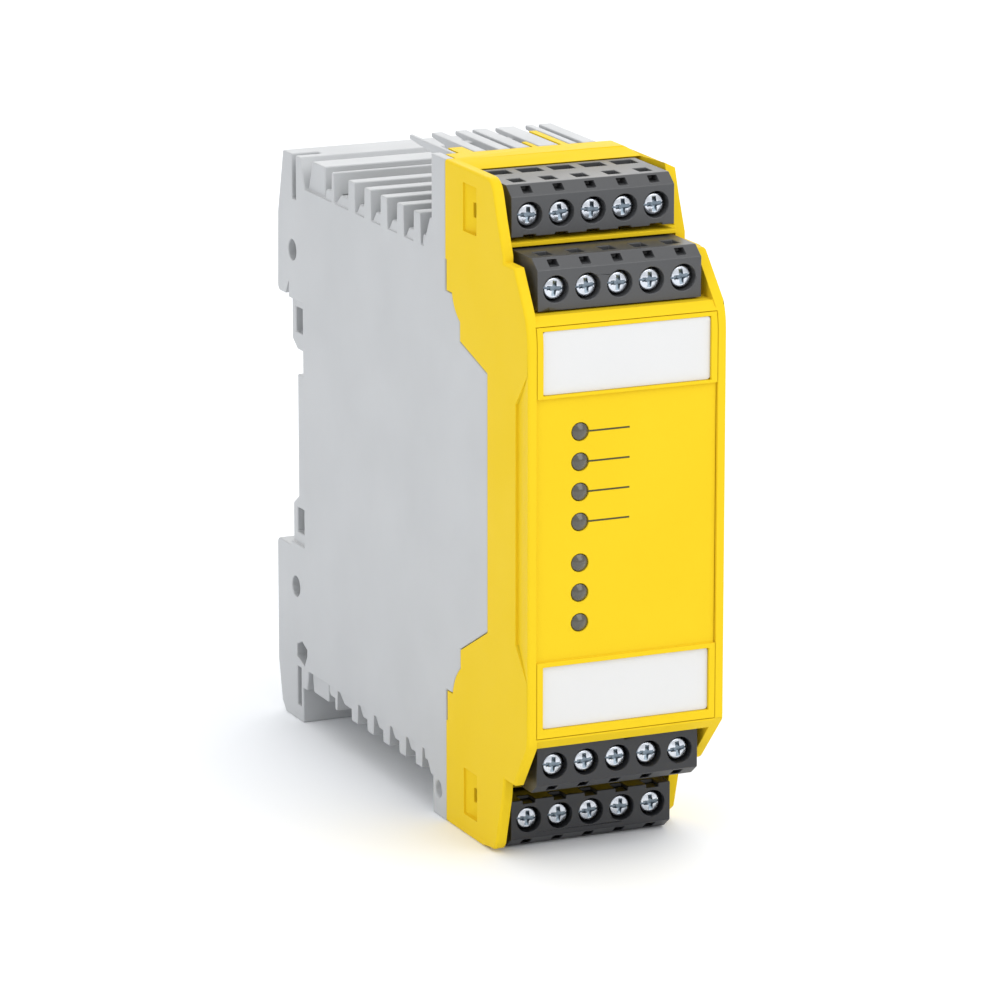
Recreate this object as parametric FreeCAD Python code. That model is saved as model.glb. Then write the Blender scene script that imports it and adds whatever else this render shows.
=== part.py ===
import FreeCAD, Part
import math
import os

Vector = FreeCAD.Vector

# X runs across, Y runs to the back, Z is up. A name in _back is a distance behind the front
# face, a name in _z, _low or _high a height above the floor.
wall = 1.6
seam = 0.12
clearance = 0.3
edge_round = 0.45
quarter_middle = 1 - math.sqrt(0.5)  # middle of a quarter arc, as a share of its radius
past = 1.0  # how far a cut runs past the face it opens
same_place = 1e-6  # largest difference between two equal lengths

# Plug-in terminal blocks: five poles each, four rows.
pole_count = 5
pole_pitch = 5.08
plug_cheek = 2.95
plug_under = 3.1
plug_over = 4.4
plug_bevel_rise = 1.5
plug_bevel_run = 2.0
plug_head = 13.8
plug_tail = 1.2
plug_tail_half = 2.7
well_diameter = 4.3
chamber_front = 6.4
chamber_length = 5.4
chamber_half_width = 2.0
chamber_half_height = 2.25
entry_width = 3.6
entry_length = 3.0
entry_lead = 3.4
entry_sink = 1.0
probe_width = 2.1
probe_length = 2.7
probe_front = 3.4
probe_depth = 1.8
marker_width = 1.5
marker_height = 0.9
marker_depth = 0.9
foot_notch_width = 2.0
foot_notch = 0.6
foot_notch_depth = 2.4
socket_size = 1.4
tail_end = plug_head + plug_tail
chamber_end = chamber_front + chamber_length
entry_front = chamber_front + entry_lead
plug_half_width = pole_pitch * (pole_count - 1) / 2 + plug_cheek

# Terminal screws and clamp cages.
screw_head = 3.7
screw_head_height = 1.7
screw_bevel = 0.35
screw_sink = 0.6
screw_shank = 2.3
screw_tip_gap = 0.9
recess_width = 0.6
recess_length = 2.8
recess_depth = 0.8
driver_slot_width = 0.5
driver_slot_depth = 0.35
cage_play = 0.25
cage_plate = 1.4
cage_strap = 0.5
cage_opening = 2.5

# Width: a terminal block between the flanks.
bay_side = 1.19
half = plug_half_width + bay_side + wall
inner = half - wall

# Heights of the rows, label plates and light panel, stacked from the floor to the top.
lower_gap = 0.2
lower_shelf = 2.8
lower_chin = 5.2
label_height = 9.4
lower_label_sill = 1.45
lower_label_head = 0.75
panel_height = 39.45
upper_label_sill = 0.5
upper_label_head = 0.75
upper_brow = 4.8
upper_shelf = 1.0
upper_gap = 1.3
lower_rear_z = lower_gap + plug_over
lower_front_z = lower_rear_z + plug_under + lower_shelf + plug_over + 2 * clearance
face_low = lower_front_z + lower_chin
lower_label_z = face_low + lower_label_sill + label_height / 2
panel_low = lower_label_z + label_height / 2 + lower_label_head
panel_high = panel_low + panel_height
upper_label_z = panel_high + upper_label_sill + label_height / 2
face_high = upper_label_z + label_height / 2 + upper_label_head
upper_front_z = face_high + upper_brow
upper_rear_z = upper_front_z + plug_over + upper_shelf + plug_under + 2 * clearance
height = upper_rear_z + plug_over + upper_gap

# Depths of the front half, from its face to the joint.
plug_front_row = 3.0
row_setback = 9.3
bay_wall = 1.2
joint_margin = 1.4
plug_rear_row = plug_front_row + row_setback
front_bay_end = plug_front_row + tail_end + clearance
rear_bay_end = plug_rear_row + tail_end + clearance
joint_back = rear_bay_end + bay_wall + joint_margin

# Stepped joint between the two housing halves.
tongue_length = 15.4
shoulder_length = 5.4
neck_length = 2.4
tongue_back = joint_back - tongue_length
tongue_low = panel_low + 1.3
tongue_high = panel_high + 0.95
shoulder_back = joint_back - shoulder_length
shoulder_low = panel_low - 3.9
shoulder_high = panel_high + 3.75
shoulder_face = 3.0
neck_back = joint_back - neck_length
neck_low = face_low + 0.1
neck_high = face_high - 0.2
neck_bow = 0.6
joint_slit = 0.45
joint_slit_length = 4.8

# Rear half: raised collar behind the joint, rib fields above and below, rear block.
collar_width = 5.1
collar_wall = 1.3
collar_wall_drop = 2.0
collar_foot = 3.0
collar_bore = 2.5
collar_bore_depth = 1.0
collar_bore_lead = 2.9
collar_bore_z = 4.2
rib_lead = 5.45
rib_count = 5
rib_pitch = 6.4
rib_thick = 2.75
rib_taper = 0.2
rib_drop = 9.8
rib_bottom = 5.8
vent_depth_upper = 4.8
vent_depth_lower = 3.3
vent_opening = 1.2
web_lead = 7.05
web_thick = 1.1
step_lead = 3.9
step_inset = 0.6
chamber_lead = 4.2
vee_lead = 7.1
vee_half = 2.3
sill_height = 1.7
sill_share = 0.6
sill_inset = 0.25
collar_back = joint_back + collar_width
collar_wall_front = collar_back - collar_wall
collar_wall_top = height - collar_wall_drop
rib_top = height - rib_drop
vent_floor = rib_top - vent_depth_upper
vent_roof = rib_bottom + vent_depth_lower
rib_first_back = collar_back + rib_lead
web_back = rib_first_back + (rib_count - 1) * rib_pitch + web_lead
step_front = web_back + web_thick + step_lead
chamber_back = step_front + chamber_lead
vee_apex = step_front + vee_lead
block_front = vee_apex + vee_half

# Seat for a 35 mm top-hat rail in the back of the block.
rail_lead = 4.9
rail_lip_low = 28.45
rail_jaw_span = 40.75
rail_rest_length = 7.0
rail_floor_depth = 2.1
rail_floor_slope = 1.4
rail_lip_slot = 1.4
upper_jaw = 4.6
lower_jaw = 5.7
hook_half_width = 10.0
hook_thick = 2.6
hook_reach = 4.4
hook_root = 2.2
lip_round = 1.0
jaw_notch = 1.4
jaw_notch_rise = 1.9
rail_rest_back = block_front + rail_lead
rail_floor_back = rail_rest_back - rail_floor_depth
rail_lip_high = rail_lip_low + rail_jaw_span
rail_upper_back = rail_rest_back + upper_jaw
depth = rail_rest_back + lower_jaw
front = -depth / 2

# Outline of the rear block and the openings in its flanks.
block_shoulder_back = rail_upper_back - 0.3
block_shoulder = rib_top - 10.2
block_top_back = rail_rest_back + 1.9
block_foot_back = depth - 3.0
block_foot_rise = 8.3
block_foot_chamfer = 1.5
strip_front = block_front - 0.9
strip_depth = 0.6
strip_edge = 0.7
strip_window_depth = 3.0
strip_window_width = 3.6
strip_window_front = block_front - 0.3
strip_window_high = 4.0
lower_window_rise = 2.45
middle_window_drop = 12.4
upper_window_drop = 5.6
strip_windows = (rail_lip_low + lower_window_rise, rail_lip_high - middle_window_drop,
                 rail_lip_high - upper_window_drop)
block_bore = 3.3
block_bore_depth = 3.0
upper_bore_back = block_front + 3.2
upper_bore_z = rail_lip_high + 7.6
lower_bore_back = block_front + 2.8
lower_bore_z = rail_lip_low - 6.45
slot_width = 1.6
slot_depth = 4.5
upper_slot_back = block_front + 1.5
upper_slot_length = 7.1
lower_slot_back = block_front + 0.9
lower_slot_z = 2.5
lower_slot_length = 6.4
hex_back = block_front + 0.5
hex_z = 11.5
hex_half_width = 2.1
hex_half_height = 1.9

# Cooling comb behind the collar: left edge, measured from the left flank, and width of each finger.
fingers = ((2.9, 0.7), (6.5, 1.9), (10.4, 2.0), (13.2, 2.4), (17.0, 3.2), (22.0, 1.3), (24.2, 2.2))
finger_reach = 16.4
finger_tip = 0.7
barred_fingers = fingers[1:5]
finger_bar_lead = 9.6
finger_bar_thick = 1.8
finger_bar_drop = 0.6
finger_bar_height = 1.1

# Stepped outline of the front flanks.
brow_back = plug_rear_row - 1.4
brow_lean = 2.0
brow_round = 3.0
brow_low = height - 5.6
cheek_back = plug_rear_row - 3.5
cheek_low = height - 10.6
upper_step_back = plug_front_row + 2.0
upper_step_drop = 11.6
upper_step_z = height - upper_step_drop
face_bow = 10.4
face_round = 1.5
face_lean = 0.3
lower_step_back = plug_front_row + 2.0
lower_step_z = lower_front_z - 3.0
chin_back = plug_rear_row - 3.7
chin_low = lower_front_z - 6.2
chin_lean = 0.5
keel_back = plug_rear_row - 1.1
keel_low = 2.2
foot_front = plug_rear_row + 1.3
foot_rise = 0.5
foot_back = plug_rear_row + 4.7
front_wall = 2.0
ledge_bevel = 1.6
strip_roof = 1.0
strip_lip = 0.3
strip_lip_run = 3.0
top_strip_front = joint_back - 3.6
bottom_strip_front = plug_rear_row + plug_head + clearance
bottom_strip = 1.3
upper_shelf_front = plug_rear_row - 1.9
lower_shelf_front = plug_rear_row + 0.9
tab_short = 4.0
tab_long = 11.6
tab_places = ((0, tab_short), (3, tab_short), (4, tab_long))
right_front_setback = 2.6
right_rear_setback = 5.6
right_top_run = 3.2
right_top_drop = 1.6

# Front panel, label plates, finger recesses and snap windows.
panel_recess = 0.5
panel_edge = 1.4
insert_groove = 0.2
insert_groove_depth = 0.4
label_edge = 2.5
label_thick = 0.4
label_corner = 0.5
label_gap = 0.1
label_half_width = half - label_edge
grip_high = panel_high + 4.05
grip_low = panel_low - 3.5
grip_back = 4.5
grip_slope = 5.4
grip_depth = 0.5
snap_lead = 11.6
snap_length = 4.9
snap_height = 7.2
snap_lip = 0.35
snap_depth = 1.3
snap_hole_lead = 1.9
snap_hole_width = 0.9
snap_hole_height = 2.2
snap_hole_rise = 2.3
snap_front = joint_back - snap_lead
snap_back = snap_front + snap_length
upper_snap_z = height - 9.5
lower_snap_z = 3.1

# Status lights behind the front panel, spread between its margins in two groups.
led_count_upper = 4
led_count_lower = 3
led_margin = 5.4
led_group_gap = 1.65
led_left = 8.5
led_diameter = 2.6
led_hole_play = 0.1
led_proud = 0.4
led_bevel = 0.45
led_board_back = 5.0
led_board_thick = 1.2
led_board_margin = 2.2
led_x = led_left - half
led_pitch = (panel_height - 2 * led_margin - led_group_gap) / (led_count_upper + led_count_lower - 1)

# Pin headers and boards.
header_edge = 1.9
header_half_height = 2.5
header_play = 0.2
pin_size = 1.0
pin_reach = 2.9
pin_hole_play = 0.1
pin_end = 0.6
board_thick = 1.6
board_gap = 1.0
terminal_board_low = 2.0
terminal_board_drop = 2.4
main_board_left = 4.9
main_board_gap = 0.3
main_board_low = 12.0
main_board_drop = 18.0
relay_width = 15.0
relay_length = 28.0
relay_height = 26.0
relay_corner = 0.6
relay_margin = 2.0
relay_setback = 7.0
capacitor_diameter = 8.0
capacitor_length = 18.0
capacitor_lead = 14.0
header_half_width = inner - header_edge
terminal_board_back = collar_wall_front - board_gap - board_thick
main_board_front = terminal_board_back + board_thick + pin_end + main_board_gap
main_board_back = chamber_back - main_board_gap
main_board_x = main_board_left - half
main_board_high = height - main_board_drop

# Rail latch in the lower rear block.
latch_half_width = 6.0
latch_lead = 1.5
latch_slide_thick = 2.8
latch_reach = 4.75
latch_tip_chamfer = 1.8
latch_travel = 3.5
latch_floor_gap = 0.5
latch_play = 0.25
peg_half_width = 2.2
peg_low = 10.8
peg_high = 12.5
window_half_width = 3.0
window_high = 22.0
window_gap = 0.2
pull_slot_half_width = 2.0
pull_slot_height = 2.4
pull_slot_rise = 1.2
spring_strip = 0.45
spring_half_width = 2.2
spring_folds = 4
spring_depth = 1.6
spring_seat = 0.05
latch_slide_front = rail_rest_back + latch_lead
latch_bottom = latch_travel + latch_floor_gap
latch_tip = rail_lip_low + latch_reach


def at(x, back, z):
    """Point at a distance behind the front face."""
    return Vector(x, front + back, z)


def block(x0, x1, back0, back1, z0, z1):
    """Box between two corners."""
    return Part.makeBox(x1 - x0, back1 - back0, z1 - z0, at(x0, back0, z0))


def rod(back, z, diameter, x0, x1):
    """Cylinder along X."""
    return Part.makeCylinder(diameter / 2, x1 - x0, at(x0, back, z), Vector(1, 0, 0))


def flank(x0, x1, start, moves):
    """Prism along X from a side outline; a move is a point, or a pair for an arc."""
    edges = []
    here = start
    for move in list(moves) + [start]:
        if isinstance(move[0], tuple):
            middle, end = move
            curve = Part.Arc(at(x0, *here), at(x0, *middle), at(x0, *end))
            edges.append(curve.toShape())
        else:
            end = move
            edges.append(Part.makeLine(at(x0, *here), at(x0, *end)))
        here = end
    face = Part.Face(Part.Wire(edges))
    return face.extrude(Vector(x1 - x0, 0, 0))


def turned(points):
    """Solid turned about the Y axis from half its outline, as radius and distance back."""
    corners = [at(radius, back, 0) for radius, back in points]
    face = Part.Face(Part.makePolygon(corners + corners[:1]))
    return face.revolve(Vector(0, 0, 0), Vector(0, 1, 0), 360)


def both_sides(shape):
    """A cutter on the left flank together with its mirror image on the right."""
    return [shape, shape.mirror(Vector(0, 0, 0), Vector(1, 0, 0))]


def joint_outline(grow):
    """Corner points of the joint line between the halves, shifted forward by a gap."""
    bow_back = (shoulder_back + neck_back) / 2 + neck_bow
    return [
        (joint_back - grow, neck_high + grow),
        (neck_back - grow, neck_high + grow),
        ((bow_back - grow, (neck_high + shoulder_high + shoulder_face) / 2),
         (shoulder_back - grow, shoulder_high + shoulder_face)),
        (shoulder_back - grow, shoulder_high + grow),
        (tongue_back - grow, tongue_high + grow),
        (tongue_back - grow, tongue_low - grow),
        (shoulder_back - grow, shoulder_low - grow),
        (shoulder_back - grow, shoulder_low - shoulder_face),
        ((bow_back - grow, (neck_low + shoulder_low - shoulder_face) / 2),
         (neck_back - grow, neck_low - grow)),
        (joint_back - grow, neck_low - grow),
    ]


def vent_gaps():
    """Front and back of every gap between the ribs."""
    fronts = [collar_back + collar_foot]
    backs = []
    for index in range(rib_count):
        centre = rib_first_back + index * rib_pitch
        backs.append(centre - rib_thick / 2)
        fronts.append(centre + rib_thick / 2)
    backs += [web_back, step_front]
    fronts.append(web_back + web_thick)
    return list(zip(fronts, backs))


def vent_cutter(gap, root, tip):
    """Tapered gap across the housing, with a low sloping sill left inside each flank."""
    gap_front, gap_back = gap
    lean = rib_taper
    if gap_front == collar_back + collar_foot:
        lean = collar_foot
    up = math.copysign(1.0, tip - root)
    cutter = flank(-half - past, half + past, (gap_front, root), [
        (gap_back, root),
        (gap_back + rib_taper, tip + up * past),
        (gap_front - lean, tip + up * past),
    ])
    sill_end = gap_front + sill_share * (gap_back - gap_front)
    sill_top = root + up * sill_height
    sill = flank(-half + sill_inset, -inner, (gap_front - collar_foot, root), [
        (gap_back, root),
        (sill_end, sill_top),
        (gap_front - collar_foot, sill_top),
    ])
    for side in both_sides(sill):
        cutter = cutter.cut(side)
    return cutter


def make_rear_housing():
    """Grey rear half: flanks, collar with comb, rib fields, rear block and rail seat."""
    joint = joint_outline(0.0)
    body = flank(-half, half, (joint_back, 0), [
        (collar_back, 0),
        (collar_back, rib_bottom),
        (block_front, rib_bottom),
        (block_front, 0),
        (block_foot_back, 0),
        (depth - block_foot_chamfer, block_foot_chamfer),
        (depth, block_foot_rise),
        (depth, rail_lip_low - lip_round),
        ((depth - quarter_middle * lip_round, rail_lip_low - quarter_middle * lip_round),
         (depth - lip_round, rail_lip_low)),
        (rail_rest_back, rail_lip_low),
        (rail_rest_back, rail_lip_low + rail_rest_length),
        (rail_floor_back, rail_lip_low + rail_rest_length + rail_floor_slope),
        (rail_floor_back, rail_lip_high - rail_rest_length - rail_floor_slope),
        (rail_rest_back, rail_lip_high - rail_rest_length),
        (rail_rest_back, rail_lip_high),
        (rail_upper_back - lip_round, rail_lip_high),
        ((rail_upper_back - quarter_middle * lip_round, rail_lip_high + quarter_middle * lip_round),
         (rail_upper_back, rail_lip_high + lip_round)),
        (block_shoulder_back, block_shoulder),
        (block_top_back, rib_top),
        (collar_back, rib_top),
        (collar_back, height),
        (joint_back, height),
    ] + joint)

    chamber_low = vent_roof - vent_opening
    chamber_high = vent_floor + vent_opening
    cutters = [
        block(-inner, inner, tongue_back - past, chamber_back, chamber_low, chamber_high),
        block(-inner, inner, joint_back - past, collar_wall_front, wall, height + past),
        block(-inner, inner, collar_wall_front - past, collar_back + past,
              collar_wall_top, height + past),
    ]
    for gap in vent_gaps():
        cutters.append(vent_cutter(gap, vent_floor, rib_top))
        cutters.append(vent_cutter(gap, vent_roof, rib_bottom))
    for root, tip in ((vent_floor, rib_top), (vent_roof, 0)):
        rise = math.copysign(past, tip - root)
        cutters.append(flank(-half - past, half + past, (vee_apex, root), [
            (vee_apex + vee_half, tip + rise),
            (vee_apex - vee_half, tip + rise),
        ]))
        low, high = sorted((root, tip + rise))
        inset = block(-half - past, -half + step_inset, step_front - past, vee_apex, low, high)
        cutters += both_sides(inset)

    recess = block(-half - past, -half + strip_depth, strip_front, rail_rest_back + past,
                   rail_lip_low + strip_edge, rail_lip_high - strip_edge / 2)
    cutters += both_sides(recess)
    for low in strip_windows:
        window = block(-half - past, -half + strip_depth + strip_window_depth,
                       strip_window_front, strip_window_front + strip_window_width,
                       low, low + strip_window_high)
        cutters += both_sides(window)
    cutters += both_sides(rod(upper_bore_back, upper_bore_z, block_bore,
                              -half - past, -half + block_bore_depth))
    cutters += both_sides(rod(lower_bore_back, lower_bore_z, block_bore,
                              -half - past, -half + block_bore_depth))
    cutters += both_sides(rod(joint_back + collar_bore_lead, collar_bore_z, collar_bore,
                              -half - past, -half + collar_bore_depth))
    cutters += both_sides(block(-half - past, -half + slot_depth, upper_slot_back,
                                upper_slot_back + slot_width,
                                rib_top - upper_slot_length, rib_top + past))
    cutters += both_sides(block(-half - past, -half + slot_depth, lower_slot_back,
                                lower_slot_back + slot_width, lower_slot_z,
                                lower_slot_z + lower_slot_length))
    hexagon = flank(-half - past, -half + slot_depth, (hex_back - hex_half_width, hex_z), [
        (hex_back - hex_half_width / 2, hex_z - hex_half_height),
        (hex_back + hex_half_width, hex_z - hex_half_height / 2),
        (hex_back + hex_half_width, hex_z + hex_half_height / 2),
        (hex_back, hex_z + hex_half_height),
        (hex_back - hex_half_width, hex_z + hex_half_height / 2),
    ])
    cutters += both_sides(hexagon)
    notch = flank(-half - past, -hook_half_width, (rail_rest_back, rail_lip_high - past), [
        (rail_rest_back + jaw_notch, rail_lip_high - past),
        (rail_rest_back + jaw_notch, rail_lip_high),
        (rail_rest_back, rail_lip_high + jaw_notch_rise),
    ])
    cutters += both_sides(notch)
    cutters.append(block(-latch_half_width - latch_play, latch_half_width + latch_play,
                         latch_slide_front - latch_play,
                         latch_slide_front + latch_slide_thick + latch_play,
                         -past, rail_lip_low + past))
    body = body.cut(cutters)

    hook_front = rail_rest_back + rail_lip_slot
    hook = flank(-hook_half_width, hook_half_width, (rail_rest_back, rail_lip_high), [
        (rail_rest_back, rail_lip_high - hook_root),
        (hook_front, rail_lip_high - hook_root),
        (hook_front, rail_lip_high - hook_reach),
        (hook_front + hook_thick / 2, rail_lip_high - hook_reach),
        (hook_front + hook_thick, rail_lip_high - hook_root),
        (hook_front + hook_thick, rail_lip_high),
    ])
    peg = block(-peg_half_width, peg_half_width, latch_slide_front - latch_play,
                latch_slide_front + latch_slide_thick + latch_play, peg_low, peg_high)
    parts = [hook, peg]
    for left, thick in fingers:
        parts.append(flank(left - half, left - half + thick, (collar_wall_front, height), [
            (collar_wall_front + finger_reach, height),
            (collar_wall_front + finger_reach, height - finger_tip),
            (collar_back, collar_wall_top),
            (collar_wall_front, collar_wall_top),
        ]))
    bar_left = barred_fingers[0][0] - half
    bar_right = sum(barred_fingers[-1]) - half
    bar_top = height - finger_bar_drop
    parts.append(block(bar_left, bar_right, collar_wall_front + finger_bar_lead,
                       collar_wall_front + finger_bar_lead + finger_bar_thick,
                       bar_top - finger_bar_height, bar_top))
    return body.fuse(parts).cut(make_right_bevel()).removeSplitter()


def rows():
    """Name, screw axis height, front face and orientation of each terminal row."""
    return [
        ("upper_rear", upper_rear_z, plug_rear_row, 1),
        ("upper_front", upper_front_z, plug_front_row, 1),
        ("lower_front", lower_front_z, plug_front_row, -1),
        ("lower_rear", lower_rear_z, plug_rear_row, -1),
    ]


def led_heights():
    """Heights of the status lights, upper group first."""
    upper_top = panel_high - led_margin
    lower_top = upper_top - led_count_upper * led_pitch - led_group_gap
    upper = [upper_top - led_pitch * i for i in range(led_count_upper)]
    lower = [lower_top - led_pitch * i for i in range(led_count_lower)]
    return upper + lower


def make_front_cover():
    """Yellow front half: stepped flanks, front panel, terminal bays and snap tabs."""
    body = flank(-half, half, (joint_back - seam, height), [
        (brow_back + brow_lean, height),
        (brow_back, brow_low),
        (cheek_back, cheek_low),
        (cheek_back, upper_step_z),
        (upper_step_back, upper_step_z),
        (0, face_high),
        (0, face_low),
        (face_lean, face_low - face_round),
        (lower_step_back, lower_step_z),
        (chin_back, lower_step_z),
        (chin_back + chin_lean, chin_low),
        (keel_back, keel_low),
        ((keel_back + quarter_middle * (foot_front - keel_back),
          foot_rise + quarter_middle * (keel_low - foot_rise)),
         (foot_front, foot_rise)),
        (foot_back, 0),
        (joint_back - seam, 0),
    ])
    body = body.makeFillet(brow_round, edges_across(body, brow_back + brow_lean, height))
    body = body.makeFillet(face_bow, edges_across(body, 0, face_high))
    rounded = [edge for edge in body.Edges if lies_on_flank(edge)]
    body = body.makeFillet(edge_round, rounded)

    upper_floor = upper_rear_z - plug_under - clearance
    shelf_under = upper_floor - upper_shelf
    ledge_high = upper_front_z - plug_under - clearance
    ledge_low = lower_front_z + plug_under + clearance
    lower_ceiling = lower_rear_z + plug_under + clearance
    lower_shelf_top = lower_front_z - plug_over - clearance

    tongue = flank(-half - past, half + past, (joint_back + past, neck_high + seam),
                   joint_outline(seam) + [(joint_back + past, neck_low - seam)])
    behind = flank(-inner, inner, (front_wall, ledge_low + ledge_bevel), [
        (front_bay_end + bay_wall, ledge_low + ledge_bevel),
        (front_bay_end + bay_wall, lower_shelf_top),
        (rear_bay_end + bay_wall, lower_shelf_top),
        (rear_bay_end + bay_wall, bottom_strip),
        (joint_back + past, bottom_strip),
        (joint_back + past, height - strip_roof),
        (rear_bay_end + bay_wall, height - strip_roof),
        (rear_bay_end + bay_wall, shelf_under),
        (front_bay_end + bay_wall, shelf_under),
        (front_bay_end + bay_wall, ledge_high - ledge_bevel),
        (front_wall, ledge_high - ledge_bevel),
    ])
    upper_rear_bay = flank(-inner, inner, (-past, upper_floor), [
        (rear_bay_end, upper_floor),
        (rear_bay_end, height - strip_roof),
        (top_strip_front, height - strip_roof),
        (top_strip_front, height - strip_roof + strip_lip),
        (top_strip_front + strip_lip_run, height),
        (top_strip_front + strip_lip_run, height + past),
        (-past, height + past),
    ])
    upper_front_bay = flank(-inner, inner, (0, ledge_high - ledge_bevel), [
        (ledge_bevel, ledge_high),
        (front_bay_end, ledge_high),
        (front_bay_end, shelf_under),
        (upper_shelf_front, shelf_under),
        (upper_shelf_front, upper_floor + past),
        (-past, upper_floor + past),
        (-past, ledge_high - ledge_bevel),
    ])
    lower_front_bay = flank(-inner, inner, (0, ledge_low + ledge_bevel), [
        (ledge_bevel, ledge_low),
        (front_bay_end, ledge_low),
        (front_bay_end, lower_shelf_top),
        (lower_shelf_front, lower_shelf_top),
        (lower_shelf_front, lower_ceiling - past),
        (-past, lower_ceiling - past),
        (-past, ledge_low + ledge_bevel),
    ])
    lower_rear_bay = flank(-inner, inner, (-past, lower_ceiling), [
        (rear_bay_end, lower_ceiling),
        (rear_bay_end, bottom_strip),
        (bottom_strip_front, bottom_strip),
        (bottom_strip_front, -past),
        (-past, -past),
    ])
    cutters = [tongue, behind, upper_rear_bay, upper_front_bay, lower_front_bay,
               lower_rear_bay]

    play = header_play
    for name, axis_z, face_back, turn in rows():
        cutters.append(block(-header_half_width - play, header_half_width + play,
                             face_back + tail_end, joint_back,
                             axis_z - header_half_height - play,
                             axis_z + header_half_height + play))
    cutters.append(block(-half + panel_edge, half - panel_edge, -past, panel_recess,
                         panel_low, panel_high))
    for middle_z in (upper_label_z, lower_label_z):
        cutters.append(block(-label_half_width - label_gap, label_half_width + label_gap, -past,
                             panel_recess + label_thick,
                             middle_z - label_height / 2 - label_gap,
                             middle_z + label_height / 2 + label_gap))
    for z in led_heights():
        cutters.append(Part.makeCylinder(led_diameter / 2 + led_hole_play, front_wall + past,
                                         at(led_x, -past / 2, z), Vector(0, 1, 0)))
    cutters += make_right_cutters()
    cutters += make_insert_grooves()
    cutters += both_sides(make_grip_cutter())
    for low in (upper_snap_z, lower_snap_z):
        cutters += both_sides(make_snap_cutter(low))
        hole_low = low + snap_hole_rise
        hole_front = snap_front + snap_hole_lead
        hole = block(-half - past, -inner, hole_front, hole_front + snap_hole_width,
                     hole_low, hole_low + snap_hole_height)
        cutters += both_sides(hole)
    for low in (neck_high, neck_low - joint_slit_length):
        slit = block(-half - past, -inner, joint_back - seam - joint_slit, joint_back,
                     low, low + joint_slit_length)
        cutters += both_sides(slit)
    body = body.cut(cutters)

    strip = block(-inner + seam, inner - seam, joint_back - past, collar_wall_front - clearance,
                  height - strip_roof, height)
    tabs = [strip]
    for index, reach in tab_places:
        tabs.append(block(sum(fingers[index]) + clearance - half,
                          fingers[index + 1][0] - clearance - half, collar_wall_front - past,
                          collar_wall_front + reach, height - strip_roof, height))
    return body.fuse(tabs).cut(make_right_bevel()).removeSplitter()


def make_right_cutters():
    """Spaces beside the terminals, where the right flank stands further back than the left one."""
    upper = flank(inner, half + past, (-past, face_high), [
        (0, face_high),
        (upper_step_back + right_front_setback, upper_step_z),
        (cheek_back + right_rear_setback, upper_step_z),
        (cheek_back + right_rear_setback, cheek_low),
        (brow_back + right_rear_setback, brow_low),
        (brow_back + brow_lean + right_rear_setback, height),
        (brow_back + brow_lean + right_rear_setback, height + past),
        (-past, height + past),
    ])
    lower = flank(inner, half + past, (-past, face_low), [
        (0, face_low),
        (lower_step_back + right_front_setback, lower_step_z),
        (chin_back + right_rear_setback, lower_step_z),
        (chin_back + chin_lean + right_rear_setback, chin_low),
        (keel_back + right_rear_setback, keel_low),
        (foot_front + right_rear_setback, foot_rise),
        (foot_back + right_rear_setback, -past),
        (-past, -past),
    ])
    shelf_end = block(plug_half_width, inner, -past, cheek_back + right_rear_setback,
                      upper_front_z + plug_over, upper_rear_z - plug_under)
    return [upper, lower, shelf_end]


def make_right_bevel():
    """Bevel along the upper right edge of both housing halves."""
    slope = right_top_drop / right_top_run
    left = half - right_top_run
    right = half + past
    corners = [at(left, -past, height), at(right, -past, height - slope * (right - left)),
               at(right, -past, height + past), at(left, -past, height + past)]
    face = Part.Face(Part.makePolygon(corners + corners[:1]))
    return face.extrude(Vector(0, collar_back + 2 * past, 0))


def make_insert_grooves():
    """Joint lines round the insert that fills the front face."""
    side = half - panel_edge
    floor = panel_recess + insert_groove_depth
    uprights = both_sides(block(-side, -side + insert_groove, -past, floor, face_low, face_high))
    levels = [block(-side, side, -past, floor, low, low + insert_groove)
              for low in (face_low, face_high - insert_groove)]
    return uprights + levels


def edges_across(body, back, z):
    """Edges that run across a body at one corner of its side outline."""
    boxes = [(edge, edge.BoundBox) for edge in body.Edges]
    return [edge for edge, box in boxes
            if box.XLength > half and abs(box.YMin - front - back) < same_place
            and abs(box.YMax - front - back) < same_place
            and abs(box.ZMin - z) < same_place and abs(box.ZMax - z) < same_place]


def lies_on_flank(edge):
    """True for an outer edge of the front outline that is rounded in the mould."""
    box = edge.BoundBox
    on_side = abs(abs(box.XMin) - half) < same_place and box.XLength < same_place
    return on_side and box.YMin < front + joint_back - 2 * seam


def make_grip_cutter():
    """Finger recess in the flank that runs out at the front edge."""
    outline = flank(-half - past, -half + grip_depth, (0, grip_low), [
        (grip_back, grip_low + grip_slope),
        (grip_back, grip_high - grip_slope),
        (0, grip_high),
    ])
    corners = [at(-half, 0, 0), at(-half + grip_depth, grip_back, 0),
               at(-half - past, grip_back, 0), at(-half - past, 0, 0)]
    wedge = Part.Face(Part.makePolygon(corners + corners[:1])).extrude(Vector(0, 0, height))
    return outline.common(wedge)


def make_snap_cutter(low):
    """Snap window in the flank with a floor that falls towards the front."""
    corners = [at(-half + snap_lip, snap_back, low), at(-half + snap_depth, snap_front, low),
               at(-half - past, snap_front, low), at(-half - past, snap_back, low)]
    return Part.Face(Part.makePolygon(corners + corners[:1])).extrude(Vector(0, 0, snap_height))


def make_label(middle_z):
    """Blank marking plate in its pocket."""
    plate = block(-label_half_width, label_half_width, panel_recess, panel_recess + label_thick,
                  middle_z - label_height / 2, middle_z + label_height / 2)
    corners = [e for e in plate.Edges if abs(e.BoundBox.YLength - label_thick) < same_place]
    return plate.makeFillet(label_corner, corners)


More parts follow.
